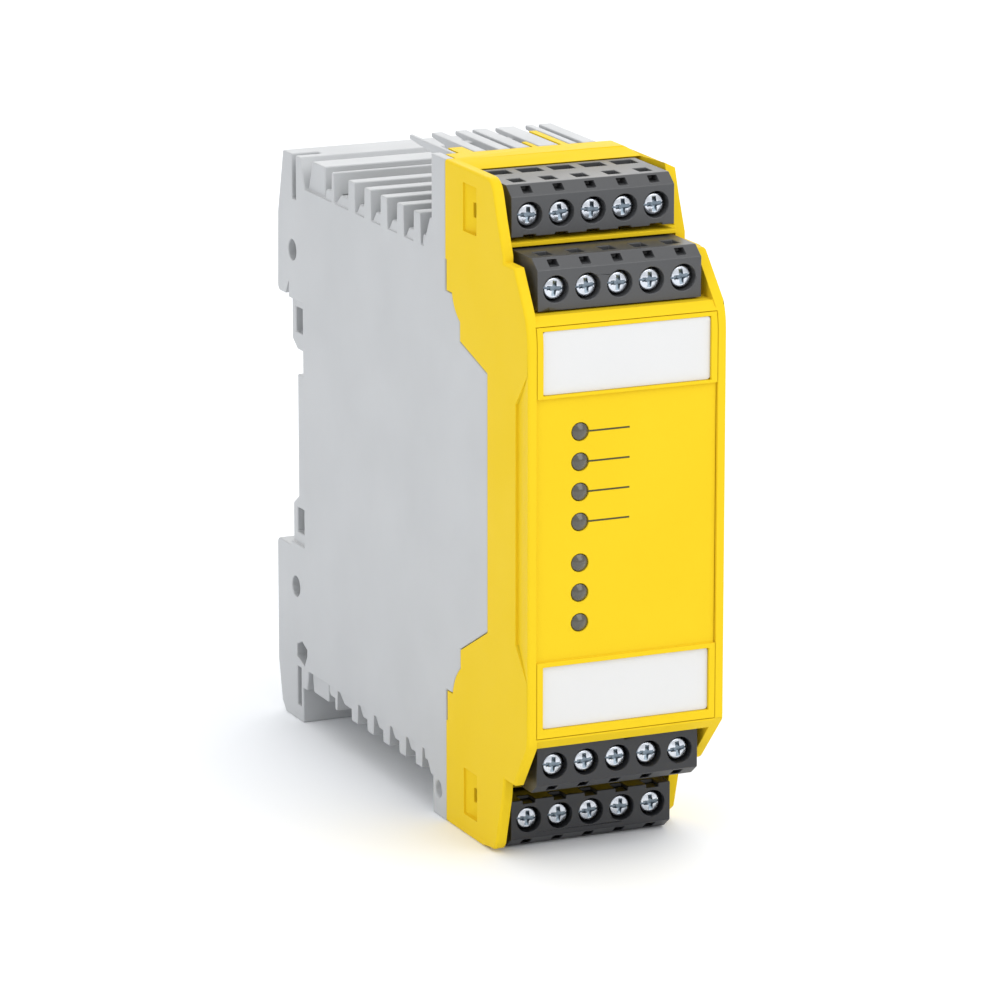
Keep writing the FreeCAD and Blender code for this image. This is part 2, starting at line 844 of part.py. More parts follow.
def make_led(z):
    """Round light with a bevelled end, from the panel to its board."""
    radius = led_diameter / 2
    tip = panel_recess - led_proud
    light = turned([(0, tip), (radius - led_bevel, tip), (radius, tip + led_bevel),
                    (radius, led_board_back), (0, led_board_back)])
    light.translate(Vector(led_x, 0, z))
    return light


def pole_positions():
    """Middle of each pole across the row."""
    first = -pole_pitch * (pole_count - 1) / 2
    return [first + pole_pitch * i for i in range(pole_count)]


def place_row(shape, axis_z, face_back, turn):
    """Moves a shape drawn about the screw axis to its row, turned over in lower rows."""
    if turn < 0:
        shape = shape.copy()
        shape.rotate(Vector(0, 0, 0), Vector(0, 1, 0), 180)
    moved = shape.copy()
    moved.translate(Vector(0, face_back, axis_z))
    return moved


def make_plug():
    """Terminal block about its screw axis, wire side up."""
    body = flank(-plug_half_width, plug_half_width, (0, -plug_under), [
        (0, plug_over - plug_bevel_rise),
        (plug_bevel_run, plug_over),
        (plug_head, plug_over),
        (plug_head, plug_tail_half),
        (tail_end, plug_tail_half),
        (tail_end, -plug_tail_half),
        (plug_head, -plug_tail_half),
        (plug_head, -plug_under),
    ])
    cutters = []
    for x in pole_positions():
        cutters.append(Part.makeCylinder(well_diameter / 2, chamber_front + past,
                                         at(x, -past, 0), Vector(0, 1, 0)))
        cutters.append(block(x - chamber_half_width, x + chamber_half_width,
                             chamber_front, chamber_end,
                             -chamber_half_height, chamber_half_height))
        cutters.append(block(x - entry_width / 2, x + entry_width / 2,
                             entry_front, entry_front + entry_length,
                             chamber_half_height - entry_sink, plug_over + past))
        cutters.append(block(x - probe_width / 2, x + probe_width / 2,
                             probe_front, probe_front + probe_length,
                             plug_over - probe_depth, plug_over + past))
        marker_z = plug_over - plug_bevel_rise / 2
        cutters.append(block(x - marker_width / 2, x + marker_width / 2, -past,
                             plug_bevel_run / 2 + marker_depth,
                             marker_z - marker_height / 2, marker_z + marker_height / 2))
        cutters.append(block(x - foot_notch_width / 2, x + foot_notch_width / 2, -past,
                             foot_notch_depth, -plug_under - past, -plug_under + foot_notch))
        cutters.append(block(x - socket_size / 2, x + socket_size / 2, chamber_end - past,
                             tail_end + past, -socket_size / 2, socket_size / 2))
    return body.cut(cutters)


def make_screw(x):
    """Captive terminal screw with a crossed recess and a driver slot."""
    radius = screw_head / 2
    shank = screw_shank / 2
    under = screw_sink + screw_head_height
    tip = chamber_end - screw_tip_gap
    screw = turned([(0, screw_sink), (radius - screw_bevel, screw_sink),
                    (radius, screw_sink + screw_bevel), (radius, under), (shank, under),
                    (shank, tip), (0, tip)])
    arm = recess_length / 2
    tool = recess_width / 2
    slot = driver_slot_width / 2
    recess = [
        block(-arm, arm, 0, screw_sink + recess_depth, -tool, tool),
        block(-tool, tool, 0, screw_sink + recess_depth, -arm, arm),
        block(-radius - past, radius + past, 0, screw_sink + driver_slot_depth, -slot, slot),
    ]
    screw = screw.cut(recess)
    screw.translate(Vector(x, 0, 0))
    return screw


def make_cage(x):
    """Clamp cage round the wire, threaded on its screw."""
    side = chamber_half_width - cage_play
    rise = chamber_half_height - cage_play
    cage_front = chamber_front + clearance
    cage_end = chamber_end - clearance
    outer = block(-side, side, cage_front, cage_end, -rise, rise)
    mouth = block(-side + cage_strap, side - cage_strap, cage_front + cage_plate,
                  cage_end - cage_strap, -rise - past, rise + past)
    thread = block(-cage_opening / 2, cage_opening / 2, cage_front - past,
                   cage_front + cage_plate + past, -cage_opening / 2, cage_opening / 2)
    cage = outer.cut([mouth, thread])
    cage.translate(Vector(x, 0, 0))
    return cage


def make_header(face_back):
    """Pin strip between the terminal block and the board, bored for its pins."""
    hole = pin_size / 2 + pin_hole_play
    base_front = tail_end + clearance
    base_end = terminal_board_back - face_back
    base = block(-header_half_width, header_half_width, base_front, base_end,
                 -header_half_height, header_half_height)
    return base.cut([block(x - hole, x + hole, base_front - past, base_end + past, -hole, hole)
                     for x in pole_positions()])


def make_pins(face_back):
    """The five contact pins of one header."""
    end = terminal_board_back + board_thick + pin_end - face_back
    return Part.makeCompound([block(x - pin_size / 2, x + pin_size / 2, tail_end - pin_reach, end,
                                    -pin_size / 2, pin_size / 2) for x in pole_positions()])


def make_terminal_board():
    """Upright board across the housing that carries the four headers."""
    side = inner - clearance
    board = block(-side, side, terminal_board_back, terminal_board_back + board_thick,
                  terminal_board_low, height - terminal_board_drop)
    hole = pin_size / 2 + pin_hole_play
    holes = []
    for name, axis_z, face_back, turn in rows():
        for x in pole_positions():
            holes.append(block(x - hole, x + hole, terminal_board_back - past,
                               terminal_board_back + board_thick + past,
                               axis_z - hole, axis_z + hole))
    return board.cut(holes)


def make_relay(low):
    """Sealed safety relay on the main board."""
    left = main_board_x + board_thick
    relay_back = main_board_back - relay_setback
    body = block(left, left + relay_width, relay_back - relay_length, relay_back,
                 low, low + relay_height)
    edges = [e for e in body.Edges if abs(e.BoundBox.XLength - relay_width) < same_place]
    return body.makeFillet(relay_corner, edges)


def make_rail_latch():
    """Sliding latch that grips the lower edge of the rail."""
    back = latch_slide_front + latch_slide_thick
    body = flank(-latch_half_width, latch_half_width, (latch_slide_front, latch_bottom), [
        (back, latch_bottom),
        (back, latch_tip - latch_tip_chamfer),
        (back - latch_tip_chamfer, latch_tip),
        (latch_slide_front, latch_tip),
    ])
    window = block(-window_half_width, window_half_width, latch_slide_front - past, back + past,
                   peg_low - window_gap, window_high)
    slot_low = latch_bottom + pull_slot_rise
    pull = block(-pull_slot_half_width, pull_slot_half_width, latch_slide_front - past, back + past,
                 slot_low, slot_low + pull_slot_height)
    return body.cut([window, pull])


def make_latch_spring():
    """Folded strip spring between the housing peg and the top of the latch window."""
    low = peg_high + spring_seat
    high = window_high - spring_seat
    rise = (high - low - spring_strip) / spring_folds
    side = spring_half_width - spring_strip / 2
    middle = [at(-side if i % 2 == 0 else side, 0, low + spring_strip / 2 + rise * i)
              for i in range(spring_folds + 1)]
    spring_front = latch_slide_front + (latch_slide_thick - spring_depth) / 2
    legs = []
    for start, end in zip(middle, middle[1:]):
        run = end - start
        leg = Part.makeBox(run.Length + spring_strip, spring_depth, spring_strip,
                           Vector(-spring_strip / 2, 0, -spring_strip / 2))
        turn = math.degrees(math.atan2(run.z, run.x))
        leg.rotate(Vector(0, 0, 0), Vector(0, 1, 0), -turn)
        leg.translate(Vector(start.x, front + spring_front, start.z))
        legs.append(leg)
    spring = legs[0].fuse(legs[1:])
    room = block(-spring_half_width, spring_half_width, spring_front,
                 spring_front + spring_depth, low, high)
    return spring.common(room).removeSplitter()


def build():
    """All pieces of the controller by name."""
    relay_1_low = main_board_low + relay_margin
    relay_2_low = main_board_high - relay_margin - relay_height
    pieces = {
        "rear_housing": make_rear_housing(),
        "front_cover": make_front_cover(),
        "label_plate_upper": make_label(upper_label_z),
        "label_plate_lower": make_label(lower_label_z),
        "terminal_board": make_terminal_board(),
        "relay_1": make_relay(relay_1_low),
        "relay_2": make_relay(relay_2_low),
        "rail_latch": make_rail_latch(),
        "latch_spring": make_latch_spring(),
    }
    for index, z in enumerate(led_heights(), start=1):
        pieces[f"status_light_{index}"] = make_led(z)
    lights = led_heights()
    pieces["light_board"] = block(-inner + clearance, inner - clearance, led_board_back,
                                  led_board_back + led_board_thick,
                                  lights[-1] - led_board_margin, lights[0] + led_board_margin)
    pieces["main_board"] = block(main_board_x, main_board_x + board_thick, main_board_front,
                                 main_board_back, main_board_low, main_board_high)
    pieces["capacitor"] = rod(main_board_front + capacitor_lead,
                              (relay_1_low + relay_height + relay_2_low) / 2,
                              capacitor_diameter, main_board_x + board_thick,
                              main_board_x + board_thick + capacitor_length)
    for name, axis_z, face_back, turn in rows():
        seat = (axis_z, face_back, turn)
        pieces[f"terminal_plug_{name}"] = place_row(make_plug(), *seat)
        pieces[f"pin_header_{name}"] = place_row(make_header(face_back), *seat)
        pieces[f"header_pins_{name}"] = place_row(make_pins(face_back), *seat)
        cages = [place_row(make_cage(x), *seat) for x in pole_positions()]
        pieces[f"clamp_cages_{name}"] = Part.makeCompound(cages)
        for index, x in enumerate(pole_positions(), start=1):
            screw = make_screw(x)
            screw.translate(Vector(0, face_back, axis_z))
            pieces[f"terminal_screw_{name}_{index}"] = screw
    return pieces


def main():
    """Builds every piece and writes one STEP file for each."""
    os.makedirs("parts", exist_ok=True)
    for name, shape in build().items():
        shape.exportStep(f"parts/{name}.step")


main()
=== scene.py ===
"""Studio scene of a rail-mounted safety controller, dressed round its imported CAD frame."""

import logging
import math
from collections.abc import Callable, Iterator
from contextlib import contextmanager
from dataclasses import dataclass
from enum import Enum

import bmesh
import bpy
from mathutils import Matrix, Vector
from mathutils.geometry import intersect_point_line


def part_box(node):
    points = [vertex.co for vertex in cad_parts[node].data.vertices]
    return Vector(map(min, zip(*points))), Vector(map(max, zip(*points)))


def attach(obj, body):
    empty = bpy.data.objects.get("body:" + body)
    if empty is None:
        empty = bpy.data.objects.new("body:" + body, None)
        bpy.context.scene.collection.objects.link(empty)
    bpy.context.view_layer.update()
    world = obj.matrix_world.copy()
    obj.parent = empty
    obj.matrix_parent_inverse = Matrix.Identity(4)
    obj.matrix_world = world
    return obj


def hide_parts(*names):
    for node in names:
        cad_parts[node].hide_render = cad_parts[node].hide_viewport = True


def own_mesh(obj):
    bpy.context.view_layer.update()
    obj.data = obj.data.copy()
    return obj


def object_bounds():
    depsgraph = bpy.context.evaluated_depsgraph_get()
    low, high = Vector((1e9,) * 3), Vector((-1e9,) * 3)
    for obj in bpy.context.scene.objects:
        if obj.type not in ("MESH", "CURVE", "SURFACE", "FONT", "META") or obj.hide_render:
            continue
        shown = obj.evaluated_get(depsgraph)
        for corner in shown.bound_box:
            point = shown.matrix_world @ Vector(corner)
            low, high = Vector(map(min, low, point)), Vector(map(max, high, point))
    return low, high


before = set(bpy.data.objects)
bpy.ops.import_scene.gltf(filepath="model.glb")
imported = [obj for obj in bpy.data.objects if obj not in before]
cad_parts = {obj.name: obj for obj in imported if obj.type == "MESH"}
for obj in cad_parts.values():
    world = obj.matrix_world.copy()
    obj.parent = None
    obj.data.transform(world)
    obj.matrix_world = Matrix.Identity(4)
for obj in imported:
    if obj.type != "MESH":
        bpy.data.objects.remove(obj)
cad_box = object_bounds()

MM = 0.001
SHARP_ANGLE = math.radians(32)  # turn past which an edge is rounded
SMOOTH_ANGLE = math.radians(40)  # turn up to which the shading runs on over an edge
FLAT_ANGLE = math.radians(0.5)  # turn up to which neighbouring triangles are one face
JOIN_MM = 0.002  # how close the corners of loose triangles lie that belong together
STRAIGHT_ON = -0.9  # cosine under which the next edge counts as going on straight
ACROSS = 0.5  # cosine to an edge under which a gap counts as lying across from it
ROOM_SHARE = 0.45  # share of the room beside an edge that its rounding may take
LEAST_SHARE = 0.15  # share of the full rounding under which an edge stays sharp
FLAT_WEIGHT = 80  # how much the larger faces rule the shading of the roundings
SAME_WAY = 0.99  # cosine over which a face looks a patch's way
STRAIGHT = 0.999  # cosine over which a face looks straight to the front or the back
NEAR_MM = 0.05  # how close a face lies to the place that it is picked by
BESIDE_MM = 1.0  # how far the box of a patch reaches past the place of its faces
REACH_MM = 20.0  # half a width that holds the whole controller
ROUND_SIDES = 48  # sides of a turned piece
POLES = 5
log = logging.getLogger("controller")


class Body(Enum):
    """Moving bodies of the controller that are not part of a terminal row."""

    HOUSING = "housing"
    LATCH = "rail_latch"


class Row(Enum):
    """Terminal rows, from the top of the front to its foot."""

    UPPER_REAR = "upper_rear"
    UPPER_FRONT = "upper_front"
    LOWER_FRONT = "lower_front"
    LOWER_REAR = "lower_rear"

    @property
    def is_upper(self) -> bool:
        """True for the rows above the light panel."""
        return self in (Row.UPPER_REAR, Row.UPPER_FRONT)


class Slot(Enum):
    """Material slots of the record, one for each kind of piece in the scene."""

    HOUSING = "housing_plastic"
    COVER = "cover_plastic"
    LABEL = "label_plastic"
    LENS = "light_lens"
    PLUG_UPPER = "plug_plastic_upper"
    PLUG_LOWER = "plug_plastic_lower"
    SCREW = "screw_zinc"
    LATCH = "latch_plastic"
    SPRING = "spring_steel"


# How far the notches in a block's foot are filled, in millimetres.
FOOT_FILL = {Row.UPPER_REAR: 0.3, Row.UPPER_FRONT: 0.58, Row.LOWER_FRONT: 0.58,
             Row.LOWER_REAR: 0.0}


def linear(colour: str) -> tuple[float, float, float, float]:
    """Turns an sRGB colour into the linear values a shader takes.

    Args:
        colour: six hex digits, such as "ffe100".

    Returns:
        Linear red, green, blue and full alpha.
    """
    shares = [int(colour[i:i + 2], 16) / 255 for i in (0, 2, 4)]
    red, green, blue = (((share + 0.055) / 1.055) ** 2.4 if share > 0.04045 else share / 12.92
                        for share in shares)
    return red, green, blue, 1.0


def add_node(tree: bpy.types.NodeTree, kind: str, settings: dict[str, object],
             links: dict[str | int, bpy.types.NodeSocket]) -> bpy.types.Node:
    """Adds one shader node with its settings and links.

    Args:
        tree: node tree of the material.
        kind: Blender's type name of the node.
        settings: values by the name of a property or of an unlinked input.
        links: sockets of other nodes by the name or number of the input they feed.

    Returns:
        The new node.
    """
    node = tree.nodes.new(kind)
    for name, value in settings.items():
        if hasattr(node, name):
            setattr(node, name, value)
        else:
            node.inputs[name].default_value = value
    for name, socket in links.items():
        tree.links.new(socket, node.inputs[name])
    return node


@dataclass(frozen=True)
class Finish:
    """A surface finish that becomes one material.

    Its colour varies softly towards a second one, and a fine relief breaks up the gloss.
    """

    name: str
    colour: str
    cloud_colour: str
    roughness: float
    grain_mm: float
    relief_mm: float
    cloud_mm: float = 16.0
    cloud_detail: float = 4.0
    cloud_range: tuple[float, float] = (0.3, 0.7)
    grain_detail: float = 2.0
    roughness_spread: float = 0.06
    metallic: float = 0.0
    ior: float = 1.5
    specular: float = 0.5
    coat: float = 0.0
    coat_roughness: float = 0.1

    def material(self) -> bpy.types.Material:
        """Gives the finish's material, made at its first use.

        Returns:
            The material.
        """
        made = bpy.data.materials.get(self.name)
        if made is not None:
            return made
        made = bpy.data.materials.new(self.name)
        made.use_nodes = True
        tree = made.node_tree
        tree.nodes.clear()
        place = add_node(tree, "ShaderNodeTexCoord", {}, {}).outputs["Object"]
        cloud = add_node(tree, "ShaderNodeTexNoise", {
            "Scale": 1 / (self.cloud_mm * MM), "Detail": self.cloud_detail,
        }, {"Vector": place})
        colour = self.pattern(tree, place, cloud.outputs["Fac"])
        rough = add_node(tree, "ShaderNodeMapRange", {
            "From Min": self.cloud_range[0], "From Max": self.cloud_range[1],
            "To Min": self.roughness - self.roughness_spread,
            "To Max": self.roughness + self.roughness_spread,
        }, {"Value": cloud.outputs["Fac"]})
        grain = add_node(tree, "ShaderNodeTexNoise", {
            "Scale": 1 / (self.grain_mm * MM), "Detail": self.grain_detail,
        }, {"Vector": place})
        relief = add_node(tree, "ShaderNodeBump",
                          {"Strength": 1.0, "Distance": self.relief_mm * MM},
                          {"Height": grain.outputs["Fac"]})
        shader = add_node(tree, "ShaderNodeBsdfPrincipled", {
            "Metallic": self.metallic, "IOR": self.ior, "Specular IOR Level": self.specular,
            "Coat Weight": self.coat, "Coat Roughness": self.coat_roughness,
        }, {"Base Color": colour, "Roughness": rough.outputs["Result"],
            "Normal": relief.outputs["Normal"]})
        add_node(tree, "ShaderNodeOutputMaterial", {}, {"Surface": shader.outputs["BSDF"]})
        return made

    def pattern(self, tree: bpy.types.NodeTree, place: bpy.types.NodeSocket,
                cloud: bpy.types.NodeSocket) -> bpy.types.NodeSocket:
        """Draws the colour over the surface.

        Args:
            tree: node tree of the material.
            place: object coordinates.
            cloud: soft noise from 0 to 1.

        Returns:
            The socket that gives the colour.
        """
        mix = add_node(tree, "ShaderNodeMixRGB", {
            "Color1": linear(self.colour), "Color2": linear(self.cloud_colour),
        }, {"Fac": cloud})
        return mix.outputs["Color"]


@dataclass(frozen=True)
class BoardFinish(Finish):
    """Solder mask over copper tracks, with rows of tinned pads."""

    track_colour: str = "2f7d4c"
    pad_colour: str = "c9c6bb"
    track_mm: float = 1.27
    track_wander: float = 1.5
    pad_mm: float = 2.54
    pad_share: float = 0.22

    def pattern(self, tree: bpy.types.NodeTree, place: bpy.types.NodeSocket,
                cloud: bpy.types.NodeSocket) -> bpy.types.NodeSocket:
        """Draws tracks and pads over the mask.

        Args:
            tree: node tree of the material.
            place: object coordinates.
            cloud: soft noise from 0 to 1.

        Returns:
            The socket that gives the colour.
        """
        mask = super().pattern(tree, place, cloud)
        # At a scale of 1 the wave node draws a band every pi / 10 of a unit.
        bands = add_node(tree, "ShaderNodeTexWave", {
            "bands_direction": "Z", "Scale": math.pi / (10 * self.track_mm * MM),
            "Distortion": self.track_wander,
        }, {"Vector": place})
        on_track = add_node(tree, "ShaderNodeMath", {"operation": "GREATER_THAN"},
                            {0: bands.outputs["Fac"]})
        tracks = add_node(tree, "ShaderNodeMixRGB", {"Color2": linear(self.track_colour)},
                          {"Fac": on_track.outputs["Value"], "Color1": mask})
        cells = add_node(tree, "ShaderNodeTexVoronoi",
                         {"Scale": 1 / (self.pad_mm * MM), "Randomness": 0.0}, {"Vector": place})
        on_pad = add_node(tree, "ShaderNodeMath", {"operation": "LESS_THAN"},
                          {0: cells.outputs["Distance"]})
        on_pad.inputs[1].default_value = self.pad_share
        pads = add_node(tree, "ShaderNodeMixRGB", {"Color2": linear(self.pad_colour)},
                        {"Fac": on_pad.outputs["Value"], "Color1": tracks.outputs["Color"]})
        return pads.outputs["Color"]


# The grain of a moulding is under 0.1 mm and of plating finer still, too fine to show here,
# so each grain_mm is drawn as coarse as it needs to show.
# Polyamide moulded in a spark-eroded tool: light cool grey, matt, with a fine even grain.
HOUSING_POLYAMIDE = Finish("polyamide_light_grey", "babcbe", "b4b6b8",
                           roughness=0.46, grain_mm=0.35, relief_mm=0.008)
# The same polyamide in signal yellow: a little smoother, with so little sheen that it keeps
# its full colour at a slant.
COVER_POLYAMIDE = Finish("polyamide_signal_yellow", "e9c828", "e4c222",
                         roughness=0.4, grain_mm=0.32, relief_mm=0.006, specular=0.03)
# Smooth polycarbonate of the marking plates: neutral white, with almost no grain.
LABEL_POLYCARBONATE = Finish("polycarbonate_white", "dadad9", "d6d6d6",
                             roughness=0.38, grain_mm=0.5, relief_mm=0.003)
# Glass-filled polyamide of the terminal blocks: dark grey, dull, with a coarser grain.
PLUG_POLYAMIDE_UPPER = Finish("polyamide_dark_grey", "4a4b4d", "454648",
                              roughness=0.36, grain_mm=0.3, relief_mm=0.010)
# The same polyamide painted darker for the lower blocks: painted shade for the weaker light near
# the floor.
PLUG_POLYAMIDE_PAINTED_SHADE = Finish("polyamide_dark_grey_painted_shade", "2a2b2e", "26272a",
                              roughness=0.36, grain_mm=0.3, relief_mm=0.010)
# Zinc plate on steel: bright, faintly blue, lightly uneven from the plating bath.
SCREW_ZINC = Finish("zinc_plated_steel", "dfe3ea", "cdd3dc",
                    roughness=0.26, grain_mm=0.18, relief_mm=0.004, cloud_mm=1.6, metallic=1.0)
# The screw's zinc painted a darker blue slate on the walls of the driver recess, as painted shade
# in the recess, with a dull metal gleam.
RECESS_ZINC_PAINTED_SHADE = Finish("zinc_painted_recess_shade", "87939d", "6f7b86",
                     roughness=0.34, grain_mm=0.18, relief_mm=0.004, cloud_mm=0.9,
                     metallic=1.0)
# Smoked acrylic of unlit lights: warm grey with a clear gloss over it.
LENS_ACRYLIC = Finish("smoked_acrylic", "504d44", "47443c",
                      roughness=0.3, grain_mm=0.4, relief_mm=0.002, cloud_mm=2.0, ior=1.49,
                      coat=0.6, coat_roughness=0.12)
# Screen-print ink: thin, dull, dark olive, a little patchy.
PRINT_INK = Finish("screen_print_ink", "463f16", "3b3511",
                   roughness=0.6, grain_mm=0.12, relief_mm=0.003, cloud_mm=1.5)
# Acetal of the sliding latch: mid grey, slightly waxy.
LATCH_ACETAL = Finish("acetal_mid_grey", "7d8085", "75787d",
                      roughness=0.42, grain_mm=0.4, relief_mm=0.006)
# Bare spring steel: grey, drawn, with a fine scale.
SPRING_STEEL = Finish("spring_steel", "b4b5b8", "9c9da1",
                      roughness=0.32, grain_mm=0.2, relief_mm=0.004, cloud_mm=1.2,
                      metallic=1.0)
# Glass-filled polyester of the header strips: black and dull, with a coarse grain.
HEADER_POLYESTER = Finish("polyester_black", "232325", "1c1c1e",
                          roughness=0.5, grain_mm=0.3, relief_mm=0.010)
# Polyester of the relay cases: warm off-white, matt.
RELAY_POLYESTER = Finish("polyester_off_white", "dcd9d0", "d3cfc5",
                         roughness=0.48, grain_mm=0.4, relief_mm=0.008)
# Drawn aluminium can: pale satin metal, softly clouded.
CAN_ALUMINIUM = Finish("satin_aluminium", "c5c7ca", "b4b6ba",
                       roughness=0.36, grain_mm=0.15, relief_mm=0.004, cloud_mm=3.0,
                       metallic=1.0)
# Nickel plate on the brass clamps: warm grey metal, fairly bright.
CAGE_NICKEL = Finish("nickel_plated_brass", "cbc5b4", "b7b09e",
                     roughness=0.3, grain_mm=0.2, relief_mm=0.004, cloud_mm=1.5, metallic=1.0)
# Tin plate on the brass pins: pale grey metal, a little dull.
PIN_TIN = Finish("tinned_brass", "c9c8c2", "b5b4ae",
                 roughness=0.35, grain_mm=0.2, relief_mm=0.004, cloud_mm=1.5, metallic=1.0)
# Glass-epoxy laminate: green solder mask with lighter tracks and tinned pads.
BOARD_LAMINATE = BoardFinish("glass_epoxy_laminate", "1f5c38", "1a5231",
                             roughness=0.4, grain_mm=0.5, relief_mm=0.006)
# Matt white studio paper with a cool brightener: bright, with hardly any tooth.
STUDIO_PAPER = Finish("studio_paper", "fafcff", "f8fafd",
                      roughness=0.9, grain_mm=1.5, relief_mm=0.02, cloud_mm=150.0,
                      specular=0.1)


def pick(piece: bpy.types.Object) -> None:
    """Selects one piece alone and makes it active.

    Args:
        piece: the piece to select.
    """
    bpy.ops.object.select_all(action="DESELECT")
    piece.select_set(True)
    bpy.context.view_layer.objects.active = piece


@contextmanager
def editing(piece: bpy.types.Object) -> Iterator[None]:
    """Keeps a piece in edit mode, by faces, with nothing selected at the start.

    Args:
        piece: the piece to edit.

    Yields:
        Nothing, while the piece is in edit mode.
    """
    pick(piece)
    bpy.ops.object.mode_set(mode="EDIT")
    bpy.ops.mesh.select_mode(type="FACE")
    bpy.ops.mesh.select_all(action="DESELECT")
    yield
    bpy.ops.object.mode_set(mode="OBJECT")


def select_faces(piece: bpy.types.Object, test: Callable[[bmesh.types.BMFace], bool]) -> None:
    """Selects the faces of a piece in edit mode that pass a test.

    Args:
        piece: the piece in edit mode.
        test: tells whether a face is selected.
    """
    bpy.ops.mesh.select_all(action="DESELECT")
    mesh = bmesh.from_edit_mesh(piece.data)
    for face in mesh.faces:
        if test(face):
            face.select_set(True)
    bmesh.update_edit_mesh(piece.data)


def faces_front(face: bmesh.types.BMFace) -> bool:
    """True for a face that looks straight to the front."""
    return face.normal.y < -STRAIGHT


def faces_back(face: bmesh.types.BMFace) -> bool:
    """True for a face that looks straight to the back."""
    return face.normal.y > STRAIGHT


@dataclass(frozen=True)
class Patch:
    """Picks the faces of a piece that look one way from a box given in millimetres."""

    low: tuple[float, float, float]
    high: tuple[float, float, float]
    look: tuple[float, float, float]

    def holds(self, face: bmesh.types.BMFace) -> bool:
        """Tells whether a face belongs to the patch.

        Args:
            face: the face.

        Returns:
            True where its middle lies in the box and it looks the patch's way.
        """
        middle = face.calc_center_bounds() / MM
        inside = all(low <= at <= high for low, at, high in zip(self.low, middle, self.high))
        return inside and face.normal.dot(Vector(self.look)) > SAME_WAY

    def move(self, piece: bpy.types.Object, x: float, y: float, z: float) -> None:
        """Moves the patch's faces, and the faces round them stretch with them.

        Args:
            piece: the piece to change.
            x: way to the right in millimetres.
            y: way to the back in millimetres.
            z: way up in millimetres.
        """
        with editing(piece):
            select_faces(piece, self.holds)
            bpy.ops.transform.translate(value=(x * MM, y * MM, z * MM))


def apply_modifier(piece: bpy.types.Object, kind: str, settings: dict[str, object]) -> None:
    """Adds a modifier with its settings and applies it.

    Args:
        piece: the piece to change.
        kind: Blender's type name of the modifier.
        settings: values by property name.
    """
    pick(piece)
    modifier = piece.modifiers.new(kind.title(), kind)
    for name, value in settings.items():
        setattr(modifier, name, value)
    bpy.ops.object.modifier_apply(modifier=modifier.name)


def room_beside(edge: bmesh.types.BMEdge, end: bmesh.types.BMVert,
                face: bmesh.types.BMFace) -> float:
    """Measures how far a rounding can spread over a face before it meets the next corner.

    Args:
        edge: the edge to round.
        end: one of its ends.
        face: one of its faces.

    Returns:
        The room in metres, endless where the edge goes on straight.
    """
    along = (edge.other_vert(end).co - end.co).normalized()
    following = next(other for other in face.edges if other is not edge and end in other.verts)
    beside = following.other_vert(end).co - end.co
    if along.dot(beside.normalized()) < STRAIGHT_ON:
        return math.inf
    return ROOM_SHARE * along.cross(beside).length


def room_across(edge: bmesh.types.BMEdge, face: bmesh.types.BMFace) -> float:
    """Measures how far a rounding can spread over a face before it meets the far side.

    Args:
        edge: the edge to round.
        face: one of its faces.

    Returns:
        The room in metres, endless where nothing lies across the face from the edge.
    """
    room = math.inf
    along = (edge.verts[1].co - edge.verts[0].co).normalized()
    for other in face.edges:
        if edge.verts[0] in other.verts or edge.verts[1] in other.verts:
            continue
        for end, line in ([(vert.co, other) for vert in edge.verts]
                          + [(vert.co, edge) for vert in other.verts]):
            first, last = (vert.co for vert in line.verts)
            share = intersect_point_line(end, first, last)[1]
            gap = first.lerp(last, min(max(share, 0.0), 1.0)) - end
            if abs(gap.dot(along)) < ACROSS * gap.length:
                room = min(room, ROOM_SHARE * gap.length)
    return room


def weigh_edges(piece: bpy.types.Object, width: float) -> None:
    """Marks the sharp edges of a piece for rounding, the narrow places for less of it.

    Args:
        piece: the piece to mark.
        width: full width of the rounding in metres.
    """
    mesh = bmesh.new()
    mesh.from_mesh(piece.data)
    weight = mesh.edges.layers.float.new("bevel_weight_edge")
    for edge in mesh.edges:
        if len(edge.link_faces) == 2 and edge.calc_face_angle() > SHARP_ANGLE:
            room = min(min(room_beside(edge, end, face) for end in edge.verts)
                       for face in edge.link_faces)
            room = min(room, *(room_across(edge, face) for face in edge.link_faces))
            share = min(1.0, room / width)
            edge[weight] = share if share > LEAST_SHARE else 0.0
    mesh.to_mesh(piece.data)
    mesh.free()


def round_edges(piece: bpy.types.Object, width: float, segments: int,
                slide: bool = False) -> None:
    """Rounds the sharp edges of a piece and shades it smoothly with flat faces kept flat.

    Args:
        piece: the piece to round.
        width: width of the rounding in metres.
        segments: steps across the rounding.
        slide: whether corners slide along the flat edges that end in them.
    """
    weigh_edges(piece, width)
    apply_modifier(piece, "BEVEL", {
        "width": width, "segments": segments, "limit_method": "WEIGHT",
        "use_clamp_overlap": False, "loop_slide": slide,
    })
    pick(piece)
    bpy.ops.object.shade_smooth_by_angle(angle=SMOOTH_ANGLE)
    apply_modifier(piece, "WEIGHTED_NORMAL", {"keep_sharp": True, "weight": FLAT_WEIGHT})


def copy_solid(node: str, name: str) -> bpy.types.Object:
    """Copies a CAD node's mesh to a new piece and joins its loose triangles.

    Args:
        node: name of the CAD node.
        name: name of the piece.

    Returns:
        The piece, with plane faces in one.
    """
    piece = bpy.data.objects.new(name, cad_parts[node].data.copy())
    piece.data.materials.clear()
    bpy.context.scene.collection.objects.link(piece)
    with editing(piece):
        bpy.ops.mesh.select_all(action="SELECT")
        bpy.ops.mesh.remove_doubles(threshold=JOIN_MM * MM)
        bpy.ops.mesh.dissolve_limited(angle_limit=FLAT_ANGLE)
    return piece


